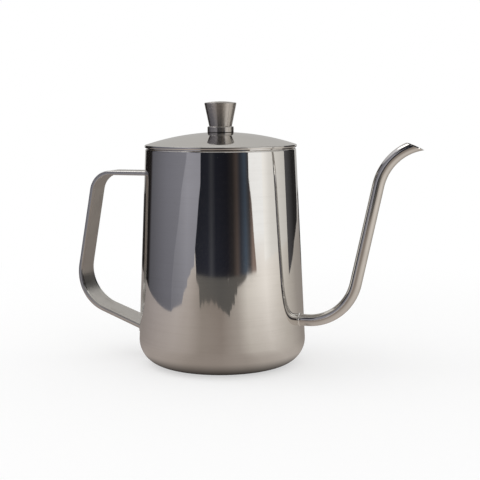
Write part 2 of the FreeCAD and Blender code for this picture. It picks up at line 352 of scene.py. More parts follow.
def cut_away(piece, tool):
    """Cuts a tool's shape out of a piece."""
    pick(piece)
    bpy.ops.object.modifier_add(type="BOOLEAN")
    cut = piece.modifiers[-1]
    cut.operation = "DIFFERENCE"
    cut.solver = "EXACT"
    cut.object = tool
    bpy.ops.object.modifier_apply(modifier=cut.name)


def drop(tool):
    """Removes a cutting tool."""
    pick(tool)
    bpy.ops.object.delete()


def drill_hole(piece, sides, radius, length, place, turn=(0, 0, 0)):
    """Drills a round hole through a piece."""
    pick(piece)
    bpy.ops.mesh.primitive_cylinder_add(
        vertices=sides, radius=radius, depth=length, location=place, rotation=turn
    )
    drill = bpy.context.active_object
    cut_away(piece, drill)
    drop(drill)


def select_by_place(piece, kind, test):
    """Selects the points (VERT) or edges (EDGE) of a piece, in edit mode, whose places pass a test."""
    bpy.ops.mesh.select_mode(type=kind)
    bpy.ops.mesh.select_all(action="DESELECT")
    leave_edit()
    points = piece.data.vertices
    if kind == "VERT":
        for point in points:
            point.select = test(point.co)
    else:
        for edge in piece.data.edges:
            edge.select = test(*[points[end].co for end in edge.vertices])
    edit()


def select_open_edges():
    """Selects the edges where a skin is still open."""
    bpy.ops.mesh.select_mode(type="EDGE")
    bpy.ops.mesh.select_all(action="DESELECT")
    bpy.ops.mesh.select_non_manifold()


def finish_piece(piece, body, node, material):
    """Smooths a piece, gives it its finish and seats it on its body in place of its node."""
    pick(piece)
    bpy.ops.object.shade_smooth_by_angle(angle=smooth_angle)
    piece.data.materials.clear()
    piece.data.materials.append(material)
    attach(piece, body)
    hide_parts(node)


def feed(tree, node, values):
    """Gives a node's inputs, by name or number, their values or other nodes' outputs."""
    for name, value in values.items():
        if isinstance(value, bpy.types.NodeSocket):
            tree.links.new(value, node.inputs[name])
        else:
            node.inputs[name].default_value = value


def add_node(tree, kind, values=None, **settings):
    """A new shader node with its settings, and what its inputs are given."""
    node = tree.nodes.new("ShaderNode" + kind)
    for name, setting in settings.items():
        setattr(node, name, setting)
    feed(tree, node, values or {})
    return node


def math_node(tree, operation, first, second):
    """The result of a Math node on two outputs or numbers."""
    return add_node(tree, "Math", {0: first, 1: second}, operation=operation).outputs[0]


def weighed_sum(tree, first, first_weight, second, second_weight):
    """Two values, each times its weight, added up."""
    first_part = math_node(tree, "MULTIPLY", first, first_weight)
    return math_node(tree, "ADD", first_part, math_node(tree, "MULTIPLY", second, second_weight))


def map_range(tree, value, source=(0.0, 1.0), target=(0.0, 1.0), kind="LINEAR"):
    """A value carried from one range to another and held at its ends."""
    limits = {"From Min": source[0], "From Max": source[1], "To Min": target[0], "To Max": target[1]}
    return add_node(tree, "MapRange", {"Value": value, **limits}, interpolation_type=kind).outputs["Result"]


def split_place(tree, place):
    """The X, Y and Z of a place."""
    return add_node(tree, "SeparateXYZ", {0: place}).outputs


def noise(tree, vector, scale, detail, roughness=0.5):
    """The value of a Noise Texture on a vector."""
    values = {"Vector": vector, "Scale": scale, "Detail": detail, "Roughness": roughness}
    return add_node(tree, "TexNoise", values).outputs["Fac"]


def new_group(name, output, **numbers):
    """An empty group on a vector, with named numbers; returns it, its inputs and its result's socket."""
    group = bpy.data.node_groups.new(name, "ShaderNodeTree")
    group.interface.new_socket(name="Vector", in_out="INPUT", socket_type="NodeSocketVector")
    for label, value in numbers.items():
        socket = group.interface.new_socket(name=label, in_out="INPUT", socket_type="NodeSocketFloat")
        socket.default_value = value
    group.interface.new_socket(name=output, in_out="OUTPUT", socket_type="NodeSocketFloat")
    given = group.nodes.new("NodeGroupInput").outputs
    return group, given, group.nodes.new("NodeGroupOutput").inputs[output]


def make_turning_lines():
    """Fine lines left round the Z axis by turning and polishing."""
    group, given, result = new_group("turning_lines", "Lines", Pitch=1500.0)
    x, y, z = split_place(group, given["Vector"])
    radius = math_node(group, "POWER", weighed_sum(group, x, x, y, y), 0.5)
    place = add_node(group, "CombineXYZ", {
        "X": math_node(group, "MULTIPLY", radius, given["Pitch"]),
        "Y": math_node(group, "MULTIPLY", z, given["Pitch"]),
        "Z": weighed_sum(group, x, 31.0, y, 23.0),
    }).outputs[0]
    fine = noise(group, place, scale=1.0, detail=2.0)
    broad = noise(group, place, scale=0.23, detail=1.0)
    group.links.new(weighed_sum(group, fine, 0.6, broad, 0.4), result)
    return group


def make_drawn_lines():
    """Fine lines that run along a bar or a tube; the vector is already stretched along them."""
    group, given, result = new_group("drawn_lines", "Lines")
    fine = noise(group, given["Vector"], scale=1.0, detail=3.0)
    broad = noise(group, given["Vector"], scale=0.21, detail=1.0)
    group.links.new(weighed_sum(group, fine, 0.65, broad, 0.35), result)
    return group


def make_hand_marks():
    """Soft smears where steel has been wiped and handled."""
    group, given, result = new_group("hand_marks", "Marks", Size=40.0)
    grow = add_node(group, "VectorMath", {0: given["Vector"], "Scale": given["Size"]}, operation="SCALE")
    cloud = noise(group, grow.outputs[0], scale=1.0, detail=4.0, roughness=0.6)
    group.links.new(map_range(group, cloud, (0.42, 0.72), kind="SMOOTHSTEP"), result)
    return group


turning_lines = make_turning_lines()
drawn_lines = make_drawn_lines()
hand_marks = make_hand_marks()


def place_group(tree, group, vector, **values):
    """The result of a shared effect in a material, on a vector and with its own values."""
    return add_node(tree, "Group", {"Vector": vector, **values}, node_tree=group).outputs[0]


def new_material(name):
    """A new material; returns it, its tree, its own shader and its object coordinates."""
    material = bpy.data.materials.new(name)
    material.use_nodes = True
    tree = material.node_tree
    return material, tree, tree.nodes["Principled BSDF"], add_node(tree, "TexCoord").outputs["Object"]


def dress(tree, shader, place, lines, mark_size, colours, roughness, line_depth, worn=None):
    """Joins lines and hand marks to a steel's colour, roughness and bump; worn edges are smoother."""
    marks = place_group(tree, hand_marks, place, Size=mark_size)
    gloss = map_range(tree, lines, target=roughness)
    gloss = math_node(tree, "ADD", gloss, math_node(tree, "MULTIPLY", marks, roughness[0] * mark_dulling))
    if worn is not None:
        gloss = math_node(tree, "MULTIPLY", gloss, map_range(tree, worn, target=(1.0, worn_share)))
    tint = math_node(tree, "SUBTRACT", math_node(tree, "MULTIPLY", lines, 2.0), 1.0)
    bright, dull = colours
    shades = {"Factor": math_node(tree, "ADD", marks, tint), "A": (*bright, 1), "B": (*dull, 1)}
    relief = {"Strength": 1.0, "Distance": line_depth, "Height": lines}
    feed(tree, shader, {
        "Metallic": 1.0,
        "Base Color": add_node(tree, "Mix", shades, data_type="RGBA").outputs["Result"],
        "Roughness": gloss,
        "Normal": add_node(tree, "Bump", relief).outputs["Normal"],
    })


def paint_crevice_shade_and_dirt(tree, shader, place, height):
    """Paints shade and dirt into the colour of the narrow crevice where a piece stands on its seat at a
    height.
    """
    levels = (height + crevice_height / 3, height + crevice_height)
    rise = map_range(tree, split_place(tree, place)["Z"], levels, (crevice_shade_and_dirt, 1.0), "SMOOTHSTEP")
    colour = shader.inputs["Base Color"].links[0].from_socket
    shades = {"Factor": 1.0, "A": colour, "B": rise}
    shade = add_node(tree, "Mix", shades, data_type="RGBA", blend_type="MULTIPLY")
    feed(tree, shader, {"Base Color": shade.outputs["Result"]})


def turned_finish(name, pitch, colours, roughness, line_depth, grain, seat=None):
    """Steel with lines round the Z axis, and painted shade and dirt in the crevice at its seat if it has one.
    """
    material, tree, shader, place = new_material(name)
    lines = place_group(tree, turning_lines, place, Pitch=pitch)
    dress(tree, shader, place, lines, turned_mark_size, colours, roughness, line_depth)
    if seat is not None:
        paint_crevice_shade_and_dirt(tree, shader, place, seat)
    way = add_node(tree, "Tangent", direction_type="RADIAL", axis="Z").outputs["Tangent"]
    feed(tree, shader, {"Anisotropic": grain, "Anisotropic Rotation": grain_turn, "Tangent": way})
    return material


def strap_finish():
    """Satin bar, brushed along its length: the lines are spread across Y only."""
    material, tree, shader, place = new_material("satin_strap_steel")
    stretch = add_node(tree, "Mapping", {"Vector": place, "Scale": (45.0, 3200.0, 45.0)})
    lines = place_group(tree, drawn_lines, stretch.outputs["Vector"])
    worn = add_node(tree, "Attribute", attribute_name="worn_edge").outputs["Fac"]
    dress(
        tree, shader, place, lines, mark_size=70.0, colours=((0.66, 0.64, 0.61), (0.60, 0.58, 0.55)),
        roughness=(0.28, 0.34), line_depth=1.0 * micron, worn=worn,
    )
    return material


def spout_finish():
    """Polished tube with long drawn lines, spread round the tube by its own attribute."""
    material, tree, shader, place = new_material("polished_spout_steel")
    around = add_node(tree, "Attribute", attribute_name="around_tube").outputs["Vector"]
    lines = place_group(tree, drawn_lines, around)
    dress(
        tree, shader, place, lines, mark_size=60.0, colours=((0.75, 0.725, 0.69), (0.70, 0.675, 0.64)),
        roughness=(0.05, 0.08), line_depth=0.3 * micron,
    )
    return material


def weld_finish():
    """Dressed weld metal, a little uneven."""
    material, tree, shader, place = new_material("weld_steel")
    lumps = noise(tree, place, scale=900.0, detail=3.0)
    dress(
        tree, shader, place, lumps, mark_size=350.0, colours=((0.80, 0.78, 0.75), (0.70, 0.67, 0.63)),
        roughness=(0.12, 0.2), line_depth=3.0 * micron,
    )
    return material


# Mirror-polished sheet with faint lines round the pot
polished_pot_steel = turned_finish(
    "polished_pot_steel", pitch=1400.0, colours=((0.80, 0.785, 0.757), (0.76, 0.742, 0.712)),
    roughness=(0.03, 0.045), line_depth=0.6 * micron, grain=0.3,
)
# Polished lid with faint turning rings
polished_lid_steel = turned_finish(
    "polished_lid_steel", pitch=1100.0, colours=((0.74, 0.725, 0.70), (0.70, 0.682, 0.655)),
    roughness=(0.04, 0.06), line_depth=1.6 * micron, grain=0.3,
)
# Turned satin bar, with painted shade and dirt in the crevice at its seat
turned_knob_steel = turned_finish(
    "turned_knob_steel", pitch=2600.0, colours=((0.58, 0.55, 0.515), (0.53, 0.50, 0.465)),
    roughness=(0.2, 0.26), line_depth=0.6 * micron, grain=0.9, seat=seat_height,
)
# Plain bright fastener with light tool marks
fastener_steel = turned_finish(
    "fastener_steel", pitch=3500.0, colours=((0.68, 0.675, 0.665), (0.62, 0.61, 0.60)),
    roughness=(0.22, 0.34), line_depth=2.0 * micron, grain=0.0,
)
satin_strap_steel = strap_finish()
polished_spout_steel = spout_finish()
weld_steel = weld_finish()


def make_pot_core():
    """The pot's wall as a full block, a little under its outside, to trim what is welded to it."""
    low = -core_margin
    high = pot_height + core_margin
    core = draw("pot_core", (0, low), [
        (wall_radius(low) - weld_depth, low),
        (wall_radius(high) - weld_depth, high),
        (0, high),
    ])
    lathe(pot_sides)
    leave_edit()
    return core


def make_pot():
    """The drawn pot: flat bottom, rounded corner, leaning wall, a rim folded inward and the spout's hole."""
    corner_middle = wall_radius(corner_radius) - corner_radius / cos(wall_lean)
    corner_turn = quarter_turn + wall_lean
    round_low = pot_height - rim_outer_round
    fold_low = pot_height - rim_fold_depth
    inner_lean = pot_sheet / cos(wall_lean)
    inner_corner = corner_radius - pot_sheet
    outside_rows = corner_rows + spout_rows + wall_rows + rim_rows
    inside_rows = corner_rows + spout_rows + inner_rows
    pot = draw("pot", (0, 0), [
        (corner_middle, 0),
        (corner_middle, corner_radius, corner_turn, 28),
        *[(wall_radius(height * mm), height * mm) for height in outside_rows],
        (wall_radius(round_low), round_low),
        (wall_radius(round_low) - rim_outer_round, round_low, quarter_turn, 12),
        (mouth_radius + rim_inner_round, pot_height),
        (mouth_radius + rim_inner_round, pot_height - rim_inner_round, quarter_turn, 10),
        (mouth_radius, fold_low),
        (wall_radius(fold_low) - inner_lean, fold_low),
        *[(wall_radius(height * mm) - inner_lean, height * mm) for height in reversed(inside_rows)],
        (
            corner_middle + inner_corner * cos(wall_lean),
            corner_radius + inner_corner * sin(wall_lean),
        ),
        (corner_middle, corner_radius, -corner_turn, 28),
        (0, pot_sheet),
    ])
    lathe(pot_sides)
    bore = spout_radius - spout_wall
    place = (wall_radius(spout_root_height), 0, spout_root_height)
    drill_hole(pot, spout_hole_sides, bore, spout_hole_length, place, (0, quarter_turn, 0))
    finish_piece(pot, "kettle", "body_shell", polished_pot_steel)


def place_round_tube(place):
    """A point's place on the spout: outward in the plane of its bends, across that plane, and along."""
    flat = upright(place.x, place.z)
    if place.x < lower_bend_start.x:
        outward = place.z - spout_root.z
        along = place.x - lower_bend_start.x
    elif (flat - rise_start).dot(spout_up) < 0:
        arm = flat - lower_bend_centre
        outward = spout_lower_bend - arm.length
        along = spout_lower_bend * atan2(arm.x, -arm.z)
    elif (flat - rise_end).dot(spout_up) < 0:
        run = flat - rise_start
        outward = run.dot(upright(-spout_up.z, spout_up.x))
        along = spout_lower_bend * spout_rise + run.dot(spout_up)
    else:
        arm = flat - upper_bend_centre
        outward = arm.length - spout_upper_bend
        turned = atan2(-arm.x, arm.z)
        along = spout_lower_bend * spout_rise + rise_length
        along += spout_upper_bend * (spout_rise - turned)
    return outward, place.y, along


def bend_tube():
    """Draws the spout's ring out of the wall, bends it up, raises it and bends it over."""
    start = spout_root - upright(spout_start_inside, 0)
    bpy.ops.mesh.primitive_circle_add(
        vertices=spout_sides, radius=spout_radius, location=start, rotation=(0, quarter_turn, 0)
    )
    spout = name_new("spout")
    edit()
    select_whole()
    margin = upright(bend_margin, 0)
    half_rise = rise_length / 2 - bend_margin
    draw_edges(lower_bend_start - start - margin)
    draw_edges(margin)
    sweep(lower_bend_centre, spout_rise, spout_bend_steps)
    for length in (bend_margin, half_rise, half_rise, bend_margin):
        draw_edges(spout_up * length)
    sweep(upper_bend_centre, spout_lip_heading - spout_rise, spout_bend_steps)
    clean_skin()
    leave_edit()
    return spout


def make_spout(core):
    """The gooseneck: a bent tube, trimmed to the pot, with a rounded mouth that is cut at a slant."""
    spout = bend_tube()
    thicken(spout, spout_wall, -1)
    cut_away(spout, core)
    lip = spout_tip + spout_radius * below(spout_lip_heading)
    slant = -below(-spout_mouth_slant)

    def from_middle(place):
        outward, across, _ = place_round_tube(place)
        return hypot(outward, across)

    def on_mouth(first, second):
        on_cut = max(abs((end - lip).dot(slant)) for end in (first, second)) < on_plane
        return on_cut and abs(from_middle(first) - from_middle(second)) < spout_wall / 2

    edit()
    bpy.ops.mesh.select_mode(type="VERT")
    select_whole()
    bpy.ops.mesh.bisect(plane_co=lip, plane_no=slant, clear_outer=True, threshold=merge_gap)
    select_open_edges()
    bpy.ops.mesh.remove_doubles(threshold=spout_mouth_merge)
    select_open_edges()
    bpy.ops.mesh.bridge_edge_loops()
    select_by_place(spout, "EDGE", on_mouth)
    bpy.ops.mesh.bevel(
        offset=spout_mouth_round, segments=spout_mouth_segments, affect="EDGES", clamp_overlap=True
    )
    clean_skin()
    leave_edit()
    around = spout.data.attributes.new("around_tube", "FLOAT_VECTOR", "POINT")
    for point, mark in zip(spout.data.vertices, around.data):
        outward, across, along = place_round_tube(point.co)
        mark.vector = (outward * spout_lines_across, across * spout_lines_across, along * spout_lines_along)
    finish_piece(spout, "kettle", "spout_tube", polished_spout_steel)


def make_spout_bead(core):
    """The low weld bead where the tube meets the wall, tilted with the wall."""
    wall = wall_radius(spout_root_height)
    low = spout_root_height + spout_radius - bead_overlap
    crest = spout_root_height + spout_radius + bead_height
    shoulder = wall + bead_width - bead_height
    bead = draw("spout_bead", (wall - bead_root, low), [
        (wall - bead_root, crest + bead_toe_rise),
        (wall + bead_toe_width, crest + bead_toe_rise),
        (wall + bead_foot_width, crest + bead_foot_rise),
        (shoulder, crest),
        (shoulder, crest - bead_height, -quarter_turn, 8),
        (wall + bead_width, low),
        (wall - bead_root, low),
    ])
    lathe(bead_sides, centre=(0, 0, spout_root_height), axis=(1, 0, 0))
    select_whole()
    bpy.ops.transform.rotate(value=wall_lean, orient_axis="Y", center_override=(wall, 0, spout_root_height))
    cut_away(bead, core)
    finish_piece(bead, "kettle", "spout_weld_bead", weld_steel)


def strap_places():
    """The corners of the strap's middle line, and the ways down its grip and in along its lower arm."""
    half = strap_thickness / 2
    top = pot_height - strap_top_below_rim - half
    outer_top = top + half
    upper_x = -wall_radius(outer_top) - strap_reach
    lower_x = upper_x - (outer_top - strap_lower_corner) * tan(strap_lean)
    grip_shift = half / cos(strap_lean)
    upper = upright(upper_x + grip_shift - half * tan(strap_lean), top)
    down = below(-strap_lean)
    inward = heading(-strap_lower_slope)
    gap = upright(lower_x, strap_lower_corner) - below(-strap_lower_slope) * half - upper
    cross = down.x * inward.z - down.z * inward.x
    lower = upper + down * ((gap.x * inward.z - gap.z * inward.x) / cross)
    return upper, lower, down, inward


def strap_half_width(height):
    """Half the strap's width at a height: even down the grip, then spreading to the foot."""
    half = strap_width / 2
    spread = (strap_foot_width / 2 - half) / (strap_flare_height - strap_foot_height)
    fall = strap_flare_height - height
    if fall < -strap_flare_blend:
        return half
    if fall < strap_flare_blend:
        return half + spread * (fall + strap_flare_blend) ** 2 / (4 * strap_flare_blend)
    return half + spread * fall


def strap_strokes():
    """The strap's middle line from the wall to the wall: where it starts, and its strokes."""
    upper, lower, down, inward = strap_places()
    upper_radius = strap_upper_bend - strap_thickness / 2
    lower_radius = strap_lower_bend - strap_thickness / 2
    upper_turn = quarter_turn - strap_lean
    lower_turn = quarter_turn + strap_lean - strap_lower_slope
    upper_run = upper_radius * tan(upper_turn / 2)
    lower_run = lower_radius * tan(lower_turn / 2)
    bend_in = upper + upright(upper_run, 0)
    grip_top = upper + down * upper_run
    grip_low = lower - down * lower_run
    arm_start = lower + inward * lower_run
    arm_near = arm_start + inward * bend_margin
    upper_centre = bend_in - upright(0, upper_radius)
    lower_centre = grip_low + heading(-strap_lean) * lower_radius
    start_x = -wall_radius(upper.z) + strap_overlap
    end_x = -wall_radius(strap_end_height) + strap_overlap
    arm_end = arm_start + inward * ((end_x - arm_start.x) / inward.x)
    flare_top = strap_flare_height + strap_flare_blend
    flare_rows = [flare_top + strap_flare_lead] + [flare_top - strap_flare_row * step for step in range(4)]
    grip_rows = [grip_top + down * bend_margin]
    grip_rows += [grip_top + down * ((grip_top.z - height) / -down.z) for height in flare_rows]
    return (start_x, bend_in.z), [
        (bend_in.x + bend_margin, bend_in.z),
        (bend_in.x, bend_in.z),
        (upper_centre.x, upper_centre.z, upper_turn, 26),
        *[(row.x, row.z) for row in grip_rows if row.z > grip_low.z + bend_margin],
        (grip_low.x, grip_low.z),
        (lower_centre.x, lower_centre.z, lower_turn, 34),
        (arm_near.x, arm_near.z),
        (arm_end.x, arm_end.z),
    ]


def make_strap(core):
    """The handle: a bent flat bar that widens from the lower bend to its foot, trimmed to the wall."""
    strap = draw("handle_strap_bar", *strap_strokes(), depth=-strap_width / 2)
    select_whole()
    for _ in range(strap_columns):
        draw_edges((0, strap_width / strap_columns, 0))
    clean_skin()
    leave_edit()
    heights = sorted({round(point.co.z / mm, row_digits) for point in strap.data.vertices})
    edit()
    for height in heights:
        widen = strap_half_width(height * mm) / (strap_width / 2)
        if widen > least_widening:
            select_by_place(strap, "VERT", lambda place: abs(place.z - height * mm) < row_gap)
            bpy.ops.transform.resize(value=(1, widen, 1), center_override=(0, 0, 0))
    leave_edit()
    thicken(strap, strap_thickness, 0)
    edit()
    clean_skin()

    def long_edge(first, second):
        outermost = min(abs(first.y), abs(second.y)) > strap_width / 2 - edge_margin
        flat = upright(first.x - second.x, first.z - second.z).length
        return outermost and first.y * second.y > 0 and abs(flat - strap_thickness) > length_margin

    select_by_place(strap, "EDGE", long_edge)
    bpy.ops.mesh.bevel(offset=strap_edge_round, segments=strap_edge_segments, affect="EDGES")
    clean_skin()
    cut_away(strap, core)
    worn = strap.data.attributes.new("worn_edge", "FLOAT", "POINT")
    for point, mark in zip(strap.data.vertices, worn.data):
        inset = strap_half_width(point.co.z) - abs(point.co.y)
        mark.value = 1.0 if inset < strap_edge_round + strap_wear_reach else 0.0
    finish_piece(strap, "kettle", "handle_strap", satin_strap_steel)


def make_strap_weld(name, node, core, place, outward, width):
    """A fillet of weld round one end of the strap: a rounded frame that grows in steps towards the wall."""
    turn = (0, atan2(outward.x, outward.z), 0)
    bpy.ops.mesh.primitive_plane_add(size=1, location=place + outward * strap_weld_leg, rotation=turn)
    sides = (strap_thickness + 2 * strap_weld_toe, width + 2 * strap_weld_toe)
    bpy.context.active_object.scale = (*sides, 1)
    weld = name_new(name)
    edit()
    select_whole()
    bpy.ops.mesh.bevel(offset=strap_edge_round, segments=strap_weld_segments, affect="VERTICES")
    select_whole()
    section_axes = ((outward.z, 0, -outward.x), (0, 1, 0), (outward.x, 0, outward.z))
    grown_before = 0.0
    gone_before = 0.0
    for step in range(1, strap_weld_steps + 1):
        angle = quarter_turn * step / strap_weld_steps
        grown = strap_weld_leg * (1 - cos(angle))
        gone = strap_weld_leg * sin(angle)
        growth = [(side + 2 * grown) / (side + 2 * grown_before) for side in sides]
        bpy.ops.mesh.extrude_region_move(TRANSFORM_OT_translate={"value": outward * (gone_before - gone)})
        bpy.ops.transform.resize(
            value=(*growth, 1),
            orient_matrix=section_axes,
            orient_matrix_type="GLOBAL",
            orient_type="GLOBAL",
            center_override=place + outward * (strap_weld_leg - gone),
        )
        grown_before = grown
        gone_before = gone
    bpy.ops.mesh.extrude_region_move(TRANSFORM_OT_translate={"value": outward * -strap_overlap})
    clean_skin()
    cut_away(weld, core)
    finish_piece(weld, "kettle", node, weld_steel)


def make_strap_welds(core):
    """The welds at the strap's upper and lower ends."""
    upper, lower, _, inward = strap_places()
    upper_place = upright(-wall_radius(upper.z), upper.z)
    outward = upright(-1, 0)
    make_strap_weld("handle_upper_weld", "handle_weld_upper", core, upper_place, outward, strap_width)
    lower_place = lower + inward * ((-wall_radius(strap_weld_height) - lower.x) / inward.x)
    foot_width = 2 * strap_half_width(lower_place.z)
    make_strap_weld("handle_lower_weld", "handle_weld_lower", core, lower_place, -inward, foot_width)


def circles_meet(first, first_radius, second, second_radius):
    """The outer of the two points in the XZ plane where two circles cross; centres are (x, z)."""
    first = Vector(first)
    gap = Vector(second) - first
    along = (first_radius ** 2 - second_radius ** 2 + gap.length_squared) / (2 * gap.length)
    aside = sqrt(first_radius ** 2 - along ** 2)
    way = gap.normalized()
    middle = first + way * along
    ends = [middle + Vector((-way.y, way.x)) * side for side in (aside, -aside)]
    return max(ends, key=lambda end: end.x)


def make_lid():
    """The lid's sheet: a flat seat, a dome that runs into a rolled edge, and the vent."""
    under_radius = dome_radius - lid_sheet
    under_seat = acos(seat_radius / under_radius)
    round_middle = Vector((rim_radius + lid_overhang - lid_edge_round, pot_height + lid_edge_round))
    corner_middle = circles_meet(
        (0, dome_centre), dome_radius - lid_edge_corner, round_middle, lid_edge_round - lid_edge_corner
    )
    corner_start = atan2(corner_middle.y - dome_centre, corner_middle.x)
    arm = corner_middle - round_middle
    corner_end = atan2(arm.y, arm.x)
    slot_angle = asin(lid_slot_height / lid_edge_round - 1)
    lid = draw("lid", (screw_hole_radius, seat_height), [
        (seat_radius - knob_seat_land, seat_height),
        (seat_radius, seat_height),
        (0, dome_centre, corner_start - seat_angle, 46),
        (corner_middle.x, corner_middle.y, corner_end - corner_start, 8),
        (round_middle.x, round_middle.y, slot_angle - corner_end, 20),
        (rim_radius - lid_slot_depth, pot_height + lid_slot_height),
        (rim_radius - lid_slot_depth, pot_height),
        (collar_radius + fold_clearance, pot_height),
        (collar_radius + fold_clearance, pot_height + lid_sheet),
        (roll_middle, pot_height + lid_sheet),
        (roll_middle, roll_height, quarter_turn + roll_start, 14),
        (0, dome_centre, under_seat - roll_start, 44),
        (screw_hole_radius, dome_centre + under_radius * sin(under_seat)),
        (screw_hole_radius, seat_height),
    ])
    lathe(lid_sides)
    drill_hole(lid, vent_sides, vent_radius, vent_drill_length, (-vent_reach, 0, crown_height))
    pick(lid)
    edit()
    clean_skin()
    bpy.ops.mesh.dissolve_degenerate(threshold=merge_gap)
    finish_piece(lid, "lid", "lid_dome", polished_lid_steel)


def make_collar():
    """The collar under the lid: a ring with a rolled lower edge and a flange held in the lid's hem."""
    flange_low = pot_height + lid_sheet
    flange_high = flange_low + collar_sheet
    flange_end = roll_middle - fold_clearance
    inner = collar_radius - collar_sheet
    edge = collar_sheet / 2
    low = pot_height - collar_depth + edge
    collar = draw("lid_collar_ring", (inner, low), [
        (collar_radius - edge, low, pi, 14),
        (collar_radius, flange_low - collar_neck),
        (collar_radius, flange_low),
        (flange_end, flange_low),
        (flange_end, flange_high),
        (inner + collar_bend, flange_high),
        (inner + collar_bend, flange_high - collar_bend, quarter_turn, 12),
        (inner, low),
    ])
    lathe(lid_sides)
    finish_piece(collar, "lid", "lid_collar", polished_lid_steel)


def make_knob():
    """The knob: foot ring, flared cone and a slightly domed top, with softened edges and the screw's hole."""
    foot_top = seat_height + knob_foot_height
    cone_top = foot_top + knob_cone_height
    ring_low = foot_top - knob_ring_round
    flare = atan2(knob_top_radius - knob_neck_radius, knob_cone_height)
    edge_middle = Vector((
        knob_top_radius - knob_edge_round * cos(flare), cone_top + knob_edge_round * sin(flare)
    ))
    crown_edge = edge_middle.x
    crown_low = edge_middle.y + knob_edge_round
    crown_radius = (crown_edge ** 2 + knob_crown ** 2) / (2 * knob_crown)
    knob = draw("knob", (knob_hole_radius, seat_height), [
        (knob_foot_radius - knob_seat_round, seat_height),
        (knob_foot_radius - knob_seat_round, seat_height + knob_seat_round, quarter_turn, 5),
        (knob_foot_radius, ring_low - knob_edge_margin),
        (knob_foot_radius, ring_low),
        (knob_foot_radius - knob_ring_round, ring_low, quarter_turn, 10),
        (knob_neck_radius, foot_top),
        ((knob_neck_radius + knob_top_radius) / 2, foot_top + knob_cone_height / 2),
        (knob_top_radius - knob_edge_margin * tan(flare), cone_top - knob_edge_margin),
        (knob_top_radius, cone_top),
        (edge_middle.x, edge_middle.y, quarter_turn + flare, 10),
        (0, crown_low - (crown_radius - knob_crown), asin(crown_edge / crown_radius), 14),
    ])
    lathe(knob_sides)
    select_open_edges()
    draw_edges((0, 0, knob_hole_depth))
    bpy.ops.mesh.edge_face_add()
    clean_skin()
    finish_piece(knob, "lid", "lid_knob", turned_knob_steel)


def make_pieces():
    """Makes every visible piece in place of its node, and finishes the fasteners that stay as packed."""
    core = make_pot_core()
    make_pot()
    make_spout(core)
    make_spout_bead(core)
    make_strap(core)
    make_strap_welds(core)
    drop(core)
    make_lid()
    make_collar()
    make_knob()
    for node in ("knob_washer", "knob_screw"):
        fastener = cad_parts[node]
        fastener.data.materials.clear()
        fastener.data.materials.append(fastener_steel)


def set_camera():
    """The camera at the photograph's viewing angle."""
    bpy.ops.object.camera_add(location=camera_place)
    camera = bpy.context.active_object
    camera.name = "camera"
    camera.data.sensor_width = 36.0
    camera.data.lens = camera_lens
    camera.data.clip_start = 0.01
    camera.data.clip_end = 50.0
    roll = Quaternion((0, 0, 1), camera_roll)
    camera.rotation_euler = (camera_look.to_track_quat("-Z", "Y") @ roll).to_euler()
    bpy.context.scene.camera = camera


def bearing_colours(tree, place, stops):
    """Colours by a point's bearing round the kettle, 0 at -Y and turning through +X.
    Each stop is a bearing in degrees from -180 to 180 and a colour."""
    x, y, _ = split_place(tree, place)
    angle = math_node(tree, "ARCTAN2", x, math_node(tree, "MULTIPLY", y, -1.0))
    share = math_node(tree, "ADD", math_node(tree, "DIVIDE", angle, 2 * pi), 0.5)
    ramp = add_node(tree, "ValToRGB", {"Fac": share})
    marks = ramp.color_ramp.elements
    while len(marks) < len(stops):
        marks.new(0.5)
    for mark, (degrees, colour) in zip(marks, stops):
        mark.position = degrees / 360 + 0.5
        mark.color = (*colour, 1)
    return ramp.outputs["Color"]


def all_round(colour):
    """Stops of one colour at every bearing."""
    return [(-180, colour), (180, colour)]


def card_finish(name, stops, foot_share=1.0, top_share=1.0):
    """A plain card that glows with the colours it would have in the studio.
    Its light changes from a share at the foot to full at a hand's height, and on to a share at the top."""
    material, tree, shader, place = new_material(name)
    tree.nodes.remove(shader)
    height = split_place(tree, place)["Z"]
    low = map_range(tree, height, (0.0, card_full_height), (foot_share, 1.0))
    high = map_range(tree, height, (card_full_height, card_top_height), (1.0, top_share))
    glow = add_node(tree, "Emission", {
        "Color": bearing_colours(tree, place, stops),
        "Strength": math_node(tree, "MULTIPLY", low, high),
    })
    feed(tree, tree.nodes["Material Output"], {"Surface": glow.outputs["Emission"]})
    return material


def only_mirrored(thing, stops, foot_share=1.0, top_share=1.0):
    """Finishes a thing of the set as a card that only reflections see."""
    pick(thing)
    thing.data.materials.append(card_finish(thing.name, stops, foot_share, top_share))
    for kind in ("camera", "diffuse", "transmission", "shadow"):
        setattr(thing, "visible_" + kind, False)


def draw_row(name, points):
    """A new thing of the set that starts as a row of points."""
    thing = begin(name, points[0])
    for at, to in zip(points, points[1:]):
        draw_point(to - at)
    return thing


def raise_card(name, rows, stops, foot_share=1.0, top_share=1.0):
    """A studio card drawn point by point along its foot, then lifted row by row.
    Rows are lists of points, foot first, and all have the same number of points."""
    card = draw_row(name, rows[0])
    for low, high in zip(rows, rows[1:]):
        rise = high[0] - low[0]
        select_by_place(card, "VERT", lambda place: min((place - at).length for at in low) < near_enough)
        draw_edges(rise)
        for before, after in zip(low, high):
            move = after - before - rise
            if move.length > near_enough:
                select_by_place(card, "VERT", lambda place: (place - before - rise).length < near_enough)
                bpy.ops.transform.translate(value=move)
    only_mirrored(card, stops, foot_share, top_share)


def stand(plan, height):
    """A row of points at a height, from their places in plan."""
    return [Vector((x, y, height)) for x, y in plan]


def leaning_rows(foot, ends):
    """Rows of a card whose far edge leans: each end is a height and that edge's place in plan."""
    return [stand(foot, 0.0)] + [stand(foot[:-1] + [end], height) for height, end in ends]


def draw_nearer(rows, eye_height, distance):
    """Rows of a card brought nearer to the kettle so that the pot, at a height, still mirrors them alike."""
    eye = Vector((0, 0, eye_height))
    nearer = []
    for row in rows:
        shares = [min(1.0, distance / point.xy.length) for point in row]
        nearer.append([eye + (point - eye) * share for point, share in zip(row, shares)])
    return nearer


